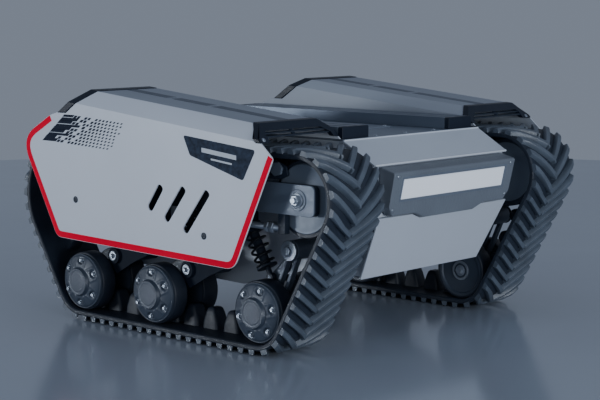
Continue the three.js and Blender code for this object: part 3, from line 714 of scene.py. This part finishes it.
def add_tensioner(name, side):
    """The bracket on the idler's axle, the axle's nut, and the threaded rod."""
    body = f"tensioner_{name}"
    centre = middle(f"idler_wheel_{name}")
    low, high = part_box(f"idler_bracket_{name}")
    left, right = low.x / MM, high.x / MM
    outline = rounded([(250, 291), (right, 291, 13), (right, 352, 13), (250, 352)])
    plate = Shells().chamfered(outline, side, 401.6, 405, 0.8)
    plate.turn([(21, 404.6), (21, 406.4), (20, 407.2), (17, 407.2), (16, 406.2)],
               centre, side, 48)
    piece(f"bracket_face_{name}", plate, ARM_GREY, body, angle=30)
    # painted shade: the bracket's thick body is the same part as its light face, given dark steel
    # so its sides read as shaded
    block = Shells()
    block.prism(inset(outline, 0.4), side, 389.6, 401.8)
    block.prism([(316, 252), (334, 252), (334, 294), (316, 294)], side, 389.6, 404)
    block.turn([(12, 287), (12, 391)], centre, side, 32)
    piece(f"bracket_block_painted_shade_{name}", block, DARK_STEEL, body,
          (f"idler_bracket_{name}",), bevel=0.8, angle=30)
    nut = Shells()
    nut_stack(nut, centre, side, 405)
    piece(f"idler_nut_{name}", nut, ZINC, body, bevel=0.3)
    rod = Shells()
    loops = []
    for k in range(THREADS * 2 + 1):
        x = left + (ROD_FRONT - left) * k / (THREADS * 2)
        radius = THREAD_CREST if k % 2 else THREAD_ROOT
        loops.append([(x, side * ROD_Y + a, ROD_Z + b) for a, b in circle(radius, 16)])
    rod.loft(loops)
    for x in LOCK_NUTS:
        rod.loft([
            [(x + dx, side * ROD_Y + a * size, ROD_Z + b * size) for a, b in circle(1, 6)]
            for dx, size in ((-5, 10), (-4, 11.4), (4, 11.4), (5, 10))])
    piece(f"tension_rod_{name}", rod, ZINC, body, angle=25)


# ---------- suspension

PIVOTS = {1: (-215, 146), 2: (17, 142), 3: (310, 213)}
DAMPER_FEET = {1: (-30, 24), 2: (-30, 24), 3: (-67, -63)}
DAMPER_HEADS = {1: (4, 136), 2: (4, 136), 3: (-133, 52)}
SPRING_RADII = {1: 13, 2: 13, 3: 21.5}
WIRE_RADII = {1: 2.1, 2: 2.1, 3: 2.6}
COILS = {1: 7, 2: 7, 3: 6}
DAMPER_Y = 345.5
ROD_SHARE = 0.46
SPRING_SEAT = 26
HEAD_ROOM = 20
COIL_STEPS = 28
PIVOT_BOLT_SEAT = 366.1
OPEN_LINK_STATION = 3


def add_arm(name, number, side):
    """A swing arm of two bars with its damper's foot and pivot bolt, webbed unless in front."""
    label = f"{number}_{name}"
    body = f"arm_{label}"
    pivot = PIVOTS[number]
    hub = middle(f"road_wheel_{label}")
    foot = (pivot[0] + DAMPER_FEET[number][0], pivot[1] + DAMPER_FEET[number][1])
    open_link = number == OPEN_LINK_STATION
    outer = 359.6 if open_link else 351.6
    shells = Shells()
    along = (Vector(hub) - Vector(pivot)).normalized()
    span = (Vector(hub) - Vector(pivot)).length
    across = Vector((-along.y, along.x))

    def spot(out, sideways):
        return tuple(Vector(pivot) + along * out + across * sideways)

    for way in (-1, 1):
        shells.chamfered([
            spot(14, way * 7), spot(span - 14, way * 7), spot(span - 12, way * 14.6),
            spot(12, way * 14.6)], side, 338 if open_link else 320.2, 351.6, 1.2)
    if not open_link:
        shells.prism([spot(12, -8), spot(12, 8), spot(span - 12, 8), spot(span - 12, -8)],
                     side, 320.4, 339)
    shells.prism(strap(pivot, foot, 9.6), side, 320.3, 335.6)
    shells.turn([(10, 320.1), (10.5, 321), (10.5, 335.2), (10, 336)], foot, side, 32)
    shells.turn([(4.4, 335), (4.4, 352)], foot, side, 20)
    shells.turn([(12.7, 320.1), (18.4, 320.1), (19, 320.8), (19, 351.2), (18.4, 351.9),
                 (12.7, 351.9)], hub, side, 40, ring=True)
    shells.turn([(12.2, 246.2), (19.3, 246.2), (20, 247), (20, outer - 0.8), (19.3, outer),
                 (12.2, outer)], pivot, side, 40, ring=True)
    piece(f"swing_arm_{label}_fine", shells, ARM_GREY if open_link else DARK_STEEL, body,
          (f"swing_arm_{label}",), angle=30)
    washer = 20.5 if open_link else 11
    seat = PIVOT_BOLT_SEAT
    end = Shells().turn([(washer, seat), (washer, seat + 1.6), (washer - 0.8, seat + 2.2)],
                        pivot, side, 40)
    hex_bolt(end, pivot, side, seat + 1.8, washer * 0.44, 6.0)
    piece(f"pivot_bolt_{label}", end, ZINC, "root", bevel=0.3)


def damper_frame(number, side):
    """A damper's lower eye, its three directions and its length."""
    pivot, foot, head = PIVOTS[number], DAMPER_FEET[number], DAMPER_HEADS[number]
    base = Vector((pivot[0] + foot[0], side * DAMPER_Y, pivot[1] + foot[1]))
    along = Vector((head[0] - foot[0], 0, head[1] - foot[1]))
    length = along.length
    along = along.normalized()
    across = Vector((0, 1, 0))
    return base, along, across, along.cross(across), length


def add_damper(name, number, side):
    """The damper's body, rod, spring seats and two eyes."""
    label = f"{number}_{name}"
    body = f"shock_{label}"
    base, along, across, other, length = damper_frame(number, side)
    radius = SPRING_RADII[number]
    rod = radius * ROD_SHARE
    seat = SPRING_SEAT
    top = length - HEAD_ROOM

    def turned(shells, profile, count=32):
        shells.loft([
            [tuple(base + along * h + across * a + other * b) for a, b in circle(r, count)]
            for r, h in profile])

    def eye(shells, height):
        eye_point = base + along * height
        inner = 5.2 if height == 0 else 3.6
        shells.loft([
            [tuple(eye_point + across * w + along * a + other * b) for a, b in circle(r, 28)]
            for r, w in ((inner, -6), (8, -6), (8.5, -5.4), (8.5, 5.4), (8, 6), (inner, 6))],
            ring=True)

    shells = Shells()
    turned(shells, [
        (5.5, 5.6), (5.5, seat - 4), (radius, seat - 4), (radius, seat - 0.6),
        (radius - 4, seat), (rod, seat), (rod, top), (radius - 4, top), (radius, top + 0.6),
        (radius, top + 4), (6.5, top + 4), (6.5, top + 8), (5.5, length - 5.6)])
    eye(shells, 0)
    eye(shells, length)
    piece(f"damper_{label}_fine", shells, DARK_STEEL, body,
          (f"damper_{label}",), angle=30)


def add_spring(name, number, side):
    """A coil between the damper's two seats, its end turns lying flat."""
    label = f"{number}_{name}"
    base, along, across, other, length = damper_frame(number, side)
    radius = SPRING_RADII[number]
    wire = WIRE_RADII[number]
    turns = COILS[number]
    low = SPRING_SEAT + wire + 0.2
    high = length - HEAD_ROOM - wire - 0.2
    steps = turns * COIL_STEPS
    path = []
    for k in range(steps + 1):
        t = k / steps
        angle = 2 * math.pi * turns * t
        ease = min(1.0, max(0.0, (t - 0.5 / turns) / (1 - 1 / turns)))
        spot = base + along * (low + (high - low) * ease)
        spot += (across * math.cos(angle) + other * math.sin(angle)) * (radius - wire - 0.1)
        path.append(spot)
    coil = Shells().sweep(path, circle(wire, 10))
    piece(f"spring_{label}_fine", coil, SPRING_BLACK, f"shock_{label}",
          (f"spring_{label}",), angle=60)


# ---------- side covers

COVER_FACE = 454.0
COVER_EDGE = [
    (-316, 455), (-416, 400, 52), (-298, 190, 25), (244, 178, 35), (350, 403)]
STRIPE_WIDTH = 13
STRIPE_MARGIN = 0.9
BADGE = [(104, 435, 4), (304, 417, 5), (270, 356, 7), (123, 396, 9)]
BADGE_BARS = ((205, 404, 48, 4.5), (212, 389, 29, 1.8))
BADGE_LEAN = 0.1
COVER_SCREWS = [(-233, 277), (161, 237)]
COVER_TOP = 491.9
COVER_TOP_FACING = 0.8
COVER_INNER_FACING = -0.3
COVER_FALL = 0.095
TOP_STRIPE_RUNS = ((-196, -60), (-46, 60), (74, 262))
TOP_STRIPE_SECTION = ((316, -0.3), (346, -0.3), (346, 0.3), (316, 0.3))


def add_stripe(name, side):
    """A red band along the cover's edge from its rear top round to its front."""
    line = rounded(COVER_EDGE, 12)
    inward = 1 if signed_area(line) > 0 else -1
    outer = offset_line(line, inward * STRIPE_MARGIN, False)
    inner = offset_line(line, inward * (STRIPE_MARGIN + STRIPE_WIDTH), False)
    sections = []
    for (ox, oz), (ix, iz) in zip(outer, inner):
        sections.append([
            (ox, side * (COVER_FACE - 0.5), oz), (ox, side * (COVER_FACE + 0.35), oz),
            (ix, side * (COVER_FACE + 0.35), iz), (ix, side * (COVER_FACE - 0.5), iz)])
    piece(f"cover_stripe_{name}", Shells().loft(sections), STRIPE_RED, "root",
          angle=30)


PIXEL_STEP, PIXEL_RISE, PIXEL_LEAN = 11.4, 6.7, 8.6
PIXEL_CORNER = (-338, 400)
PIXEL_FALL = 0.05
SOLID_CELLS = (4, 3, 6, 4, 5, 7, 4, 5, 3)
BROKEN_CELLS = 9
PIXEL_CELLS = 19


def add_pixels(name, side):
    """Rows of slanted bars, broken up towards the front and ending in small dots."""
    shells = Shells()

    def block(row, start, end, fill):
        x, z = PIXEL_CORNER
        half = PIXEL_RISE / 2 * fill
        low_x = x + row * PIXEL_LEAN + start * PIXEL_STEP
        high_x = x + row * PIXEL_LEAN + end * PIXEL_STEP
        mid_z = z + (row + 0.5) * PIXEL_RISE - (start + end) / 2 * PIXEL_STEP * PIXEL_FALL
        lean = half * PIXEL_LEAN / PIXEL_RISE
        shells.prism(
            [(low_x - lean, mid_z - half), (high_x - lean, mid_z - half),
             (high_x + lean, mid_z + half), (low_x + lean, mid_z + half)],
            side, COVER_FACE - 0.4, COVER_FACE + 0.25)

    for row, solid in enumerate(SOLID_CELLS):
        block(row, 0, solid, 0.78 if row % 3 == 2 else 1.04)
        for cell in range(solid, PIXEL_CELLS - row // 3):
            share = 1 - (cell - solid) / (PIXEL_CELLS - solid)
            if cell < BROKEN_CELLS and (cell + 2 * row) % 3 == 0:
                continue
            wide = 0.4 + 0.42 * share * share
            middle_cell = cell + 0.5 + 0.5 * (row % 2)
            block(row, middle_cell - wide / 2, middle_cell + wide / 2, 0.4 + 0.46 * share)
    piece(f"cover_pixels_{name}", shells, DECAL_DARK, "root")


def add_badge(name, side):
    """A dark plate with a long bar and a short one, in place of any lettering."""
    panel = Shells().chamfered(rounded(BADGE, 6), side, COVER_FACE - 0.4, COVER_FACE + 0.8, 0.4)
    piece(f"cover_badge_{name}", panel, BADGE_GREY, "root")
    bars = Shells()
    for x, z, reach, half in BADGE_BARS:
        fall = reach * BADGE_LEAN
        outline = [
            (x - reach, z - half + fall), (x + reach, z - half - fall),
            (x + reach, z + half - fall), (x - reach, z + half + fall)]
        bars.prism(outline, side, COVER_FACE, COVER_FACE + 1.0)
    piece(f"badge_bars_{name}", bars, DECAL_LIGHT, "root")


def add_top_stripe(name, side):
    """Three darker strips in line along the cover's top."""
    shells = Shells()
    for run in TOP_STRIPE_RUNS:
        shells.loft([
            [(x, side * y, COVER_TOP + lift - COVER_FALL * x) for y, lift in TOP_STRIPE_SECTION]
            for x in run])
    piece(f"cover_top_stripe_{name}", shells, TOP_STRIPE, "root")


def add_cover(name, side):
    """The folded cover, with its top and inner faces in a darker grey as painted shade, and all
    that is fixed to it.
    """
    # painted shade: faces that point up or inward take the darker grey
    def painted_shade_faces(face):
        return face.normal.z > COVER_TOP_FACING or side * face.normal.y < COVER_INNER_FACING

    refined(f"side_cover_{name}", COVER_WHITE, 0.9, COVER_SHADE_GREY, painted_shade_faces)
    add_stripe(name, side)
    add_pixels(name, side)
    add_badge(name, side)
    add_top_stripe(name, side)
    screws = Shells()
    for spot in COVER_SCREWS:
        screws.turn([
            (7.2, COVER_FACE - 0.5), (7.2, COVER_FACE + 0.6), (5.4, COVER_FACE + 1.3),
            (3.0, COVER_FACE + 1.3), (2.6, COVER_FACE + 0.5)], spot, side, 32)
    piece(f"cover_screws_{name}", screws, DARK_STEEL, "root")


FRONT_CAP_FOOT = (318, 431)
FRONT_CAP_LEAN = 0.946
FRONT_CAP_DEPTH = 14
FRONT_CAP_SCREW = (441, 466)


def front_cap_loops(outline, side, depth=FRONT_CAP_DEPTH, set_back=0.0):
    """A front-view outline of (y, z at X = 0) points laid in the cap's leaning slab."""
    foot_x, foot_z = FRONT_CAP_FOOT
    loops = []
    for behind in (set_back, set_back + depth):
        loop = []
        for y, level in outline:
            x = (foot_x - FRONT_CAP_LEAN * (level - foot_z)) / (1 - FRONT_CAP_LEAN * COVER_FALL)
            x -= behind
            loop.append((x, side * y, level - COVER_FALL * x))
        loops.append(loop)
    return loops


def add_front_cap(name, side):
    """A rounded band round the cover's front opening, with two slats and a post in it."""
    band = rounded([
        (455.5, 461.4, 6), (455.5, 463.5, 2), (425.3, 493.4, 7), (256, 493.4, 9), (226, 473.9, 6),
        (226, 461.4), (240, 461.4), (241, 470, 3), (262, 480, 5), (420, 480, 6), (427, 474, 4),
        (424, 461.4, 6)], 5)
    shells = Shells().loft(front_cap_loops(band, side))
    piece(f"fender_cap_front_{name}_fine", shells, BLACK_CAP, "root",
          (f"fender_cap_front_{name}",), bevel=1.0)
    slats = Shells()
    for low, high in ((474.4, 476.8), (468.6, 471)):
        slats.loft(front_cap_loops(
            [(428, low), (428, high), (244, high), (244, low)], side, 8, 2))
    slats.loft(front_cap_loops([(346, 468.8), (346, 481), (338, 481), (338, 468.8)], side, 5, 6))
    piece(f"cap_slats_{name}", slats, DARK_STEEL, "root", bevel=0.4)
    seat = Vector(front_cap_loops([FRONT_CAP_SCREW], side)[0][0])
    across, lean = Vector((0, 1, 0)), Vector((-FRONT_CAP_LEAN, 0, 1)).normalized()
    outward = across.cross(lean)
    screw = Shells().loft([
        [tuple(seat + outward * lift + across * a + lean * b)
         for a, b in circle(radius, 20)]
        for radius, lift in ((4.6, -2), (4.6, 1), (3.6, 1.8), (2, 1.8), (1.8, 0.6))])
    piece(f"cap_screw_{name}", screw, ZINC, "root")


# ---------- hull, deck and lamp

def add_hull():
    refined("hull_tub", PLATE_GREY, 1.2)
    refined("deck_plate", DECK_GREY, 0.8)
    refined("front_upper_plate", PLATE_GREY, 0.9)
    refined("front_lower_plate", PLATE_GREY, 0.9)
    refined("rear_plate", PLATE_GREY, 1.0)
    refined("lamp_housing", LAMP_BODY, 2.0)
    refined("lamp_lens", LENS_WHITE, 0.6)
    refined("battery_pack", CELL_BLUE, 3.0)
    refined("power_button", BUTTON_RED, 1.0)
    add_plate_lips()
    add_lamp_details()
    add_deck_details()
    add_rear_details()


PLATE_LIPS = ((331.6, 422.2, 227, 1.9), (409.4, 376.6, 223.5, 2.5))


def add_plate_lips():
    """The upper plate's folded edges, top and bottom: real rolled edges, in a lighter paint than
    the plate as painted highlight.
    """
    lips = Shells()
    for x, z, reach, radius in PLATE_LIPS:
        lips.sweep([Vector((x, -reach, z)), Vector((x, reach, z))], circle(radius, 12))
    # painted highlight: the lips take the lighter cover white, not the plate's grey
    piece("upper_plate_lips_highlight", lips, COVER_WHITE, "root", angle=50)


LAMP_FACE_FOOT = (425, 262)
LAMP_FACE_SLOPE = 22 / 99
LENS_LOW, LENS_HIGH, LENS_HALF = 307, 348, 173
LAMP_SCREW_Y = 192
LAMP_SCREW_HEIGHTS = (286, 354)


def lamp_face(y, z, proud):
    """A point on the lamp housing's leaning face, or a little in front of it."""
    foot_x, foot_z = LAMP_FACE_FOOT
    return (foot_x + (z - foot_z) * LAMP_FACE_SLOPE + proud, y, z)


def add_lamp_details():
    """A raised lip round the lens, and a screw in each corner of the housing."""
    loops = []
    for reach, proud in ((1, -0.6), (1, 0.9), (4.5, 0.9), (5.5, -0.6)):
        half, low, high = LENS_HALF + reach, LENS_LOW - reach, LENS_HIGH + reach
        loops.append([
            lamp_face(y, z, proud)
            for y, z in ((-half, low), (half, low), (half, high), (-half, high))])
    lip = Shells().loft(loops, ring=True)
    piece("lens_lip", lip, DISC_GREY, "root", angle=30)
    screws = Shells()
    for y in (-LAMP_SCREW_Y, LAMP_SCREW_Y):
        for z in LAMP_SCREW_HEIGHTS:
            screws.loft([
                [lamp_face(y + a, z + b, proud) for a, b in circle(radius, 16)]
                for radius, proud in ((3.6, -0.6), (3.6, 0.7), (2.6, 1.4), (1.4, 1.4))])
    piece("lamp_screws", screws, ZINC, "root")


def flat_screw(shells, x, y, seat):
    """A domed screw head with a socket, on a level face."""
    shells.loft([
        [(x + a, y + b, seat + lift) for a, b in circle(r, 20)]
        for r, lift in ((4.4, -0.6), (4.4, 0.8), (3.52, 2.0), (1.76, 2.3), (1.54, 1.2))])


DECK_FACE = 423.5
HATCH_FACE = 425.8
HATCH_OUTLINE = [(-212, -104, 10), (188, -104, 10), (188, 104, 10), (-212, 104, 10)]


def add_deck_details():
    """A shallow hatch with six screws, and three screws along each end of the deck."""
    screws = Shells()
    for y in (-98, 0, 98):
        for x in (-318, 308):
            flat_screw(screws, x, y, DECK_FACE)
    outline = rounded(HATCH_OUTLINE)
    hatch = Shells().loft([
        [(x, y, DECK_FACE - 0.2) for x, y in outline],
        [(x, y, HATCH_FACE - 0.8) for x, y in outline],
        [(x, y, HATCH_FACE) for x, y in inset(outline, 0.8)]])
    for x in (-200, -12, 176):
        for y in (-92, 92):
            flat_screw(screws, x, y, HATCH_FACE)
    piece("deck_hatch", hatch, DECK_GREY, "root")
    piece("deck_screws", screws, ZINC, "root")


RAIL_INNER, RAIL_WIDTH = 136, 82
RAIL_BASE, RAIL_HEIGHT = 423.85, 24.65
RAIL_REAR, RAIL_FRONT = -330, 320


def add_rail(name, side):
    """An aluminium rail with two open slots along its top, and a black cap at each end."""
    slots = []
    for start in (54, 20):
        slots += [(start + 8, RAIL_HEIGHT), (start + 8, 17.5), (start + 11, 16), (start + 11, 9),
                  (start - 3, 9), (start - 3, 16), (start, 17.5), (start, RAIL_HEIGHT)]
    outline = [(0, 0), (RAIL_WIDTH, 0), (RAIL_WIDTH, RAIL_HEIGHT), *slots, (0, RAIL_HEIGHT)]
    shells = Shells().loft([
        [(x, side * (RAIL_INNER + u), RAIL_BASE + v) for u, v in outline]
        for x in (RAIL_REAR + 5, RAIL_FRONT - 12)])
    piece(f"deck_rail_{name}_fine", shells, RAIL_GREY, "root",
          (f"deck_rail_{name}",), bevel=0.5, angle=30)
    caps = Shells()
    face = rounded([(0, 0, 1), (RAIL_WIDTH, 0, 1), (RAIL_WIDTH, RAIL_HEIGHT, 4),
                    (0, RAIL_HEIGHT, 4)], 4)
    for start, end in ((RAIL_REAR, RAIL_REAR + 5.5), (RAIL_FRONT - 12.5, RAIL_FRONT)):
        caps.loft([
            [(x, side * (RAIL_INNER + u), RAIL_BASE + v) for u, v in face]
            for x in (start, end)])
    piece(f"rail_caps_{name}", caps, BLACK_CAP, "root", bevel=1.2)


# ---------- rear plate and gussets

REAR_FACE = -364.3
BUTTON_HEIGHT = 270
LARGE_SOCKET = ((25, -0.4), (25, 3), (23, 4.4), (19, 4.4), (18.5, 9), (16, 10))
SMALL_SOCKET = ((17, -0.4), (17, 3), (15, 4.2), (12, 4.2), (11.6, 7.6), (10, 8.4))
BEZEL = ((17.8, -0.4), (25, -0.4), (25, 2.4), (23.5, 3.6), (19, 3.6), (17.8, 2.8))


def rear_disc(shells, y, z, profile, count=32):
    """A profile of (radius, distance out of the rear plate) turned about X."""
    shells.loft([
        [(REAR_FACE - out, y + a, z + b) for a, b in circle(r, count)] for r, out in profile])


def add_rear_details():
    """Eight screws, the button's bezel, and three socket caps."""
    screws = Shells()
    for y in (-188, -62, 62, 188):
        for z in (196, 314):
            rear_disc(screws, y, z, [(5, -0.5), (5, 1.2), (3.8, 2.4), (2.2, 2.4), (2, 1)], 20)
    piece("rear_screws", screws, ZINC, "root")
    bezel = Shells().loft([
        [(REAR_FACE - out, a, BUTTON_HEIGHT + b) for a, b in circle(r, 48)] for r, out in BEZEL],
        ring=True)
    piece("button_bezel", bezel, DARK_STEEL, "root")
    sockets = Shells()
    rear_disc(sockets, -110, 262, LARGE_SOCKET, 40)
    for z in (284, 240):
        rear_disc(sockets, 110, z, SMALL_SOCKET)
    piece("rear_socket_caps", sockets, BLACK_CAP, "root", bevel=0.5)


def add_gusset(name, side):
    """The bolted plate above the idler's bracket, with a block on it."""
    outline = rounded([
        (196, 330, 4), (222, 330, 4), (228, 356, 3), (314, 357, 5), (333, 366, 5), (327, 384, 6),
        (300, 393, 5), (212, 394, 5), (196, 380, 4)], 4)
    plate = Shells().chamfered(outline, side, 389.2, 394, 0.8)
    piece(f"idler_gusset_{name}", plate, DARK_STEEL, "root")
    fixings = Shells()
    for spot in ((214, 342), (214, 382), (262, 376)):
        hex_bolt(fixings, spot, side, 394, 5.0, 5.0)
    piece(f"gusset_bolts_{name}", fixings, ZINC, "root", bevel=0.3)
    block = Shells().chamfered(
        [(286, 372), (293, 388), (310, 390), (321, 380), (317, 367), (300, 362)],
        side, 393.8, 398, 1.2)
    piece(f"gusset_block_{name}", block, DISC_GREY, "root")


# ---------- sides, floor and studio

FRAME_INNER_Y = 245


def add_side(name, side):
    add_track(name, side)
    add_cover(name, side)
    add_front_cap(name, side)
    refined(f"fender_cap_rear_{name}", BLACK_CAP, 2.2)
    add_idler(name, side)
    add_tensioner(name, side)
    refined(f"track_frame_{name}", FRAME_DARK, 0.6, PLATE_GREY,
            lambda face: abs(face.center.y) < FRAME_INNER_Y * MM)
    add_gusset(name, side)
    refined(f"drive_motor_{name}", DARK_STEEL, 1.0)
    refined(f"sprocket_{name}", DARK_STEEL, 0.8)
    add_rail(name, side)
    for number in STATIONS:
        add_road_wheel(number, name, side)
        add_arm(name, number, side)
        add_damper(name, number, side)
        add_spring(name, number, side)


FLOOR_RADIUS = 3.68
FLOOR_TILE = (168, 178, 192)
STUDIO_GREY = (127, 136, 151)
STUDIO_STRENGTH = 0.9
LAMP_COLOUR = (0.88, 0.94, 1.0)
LAMPS = (
    ("key", (-5.4, -7.8, 0.7), (0, -0.4, 0.3), (2.0, 1.0), 300),
    ("front", (4.6, -0.9, 0.55), (0.3, 0, 0.25), (2.4, 0.8), 98),
    ("near", (2.0, -4.0, 0.6), (0, 0, 0.2), (2.4, 0.6), 12),
    ("back", (-5.0, -0.2, 0.9), (0, 0, 0.3), (2.2, 1.0), 22),
)


def add_stage():
    """A round floor of polished tile, an even grey studio, and four low lamps."""
    mesh = bpy.data.meshes.new("floor")
    rim = [(x, y, 0) for x, y in circle(FLOOR_RADIUS, 128)]
    mesh.from_pydata(rim, [], [tuple(range(len(rim)))])
    floor = bpy.data.objects.new("floor", mesh)
    tile = surface("floor_tile", FLOOR_TILE, 0.15, vary=0.04, clouds=0.8, grain=60.0,
                   bump=0.02, spread=0.05)
    mesh.materials.append(tile)
    bpy.context.scene.collection.objects.link(floor)
    world = bpy.data.worlds.new("studio")
    world.use_nodes = True
    background = world.node_tree.nodes["Background"]
    background.inputs["Color"].default_value = (*linear(*STUDIO_GREY), 1)
    background.inputs["Strength"].default_value = STUDIO_STRENGTH
    bpy.context.scene.world = world
    for name, place, target, size, power in LAMPS:
        add_light(name, place, target, size, power)


add_camera()
add_stage()
add_hull()
for side_name, side_sign in SIDES.items():
    add_side(side_name, side_sign)
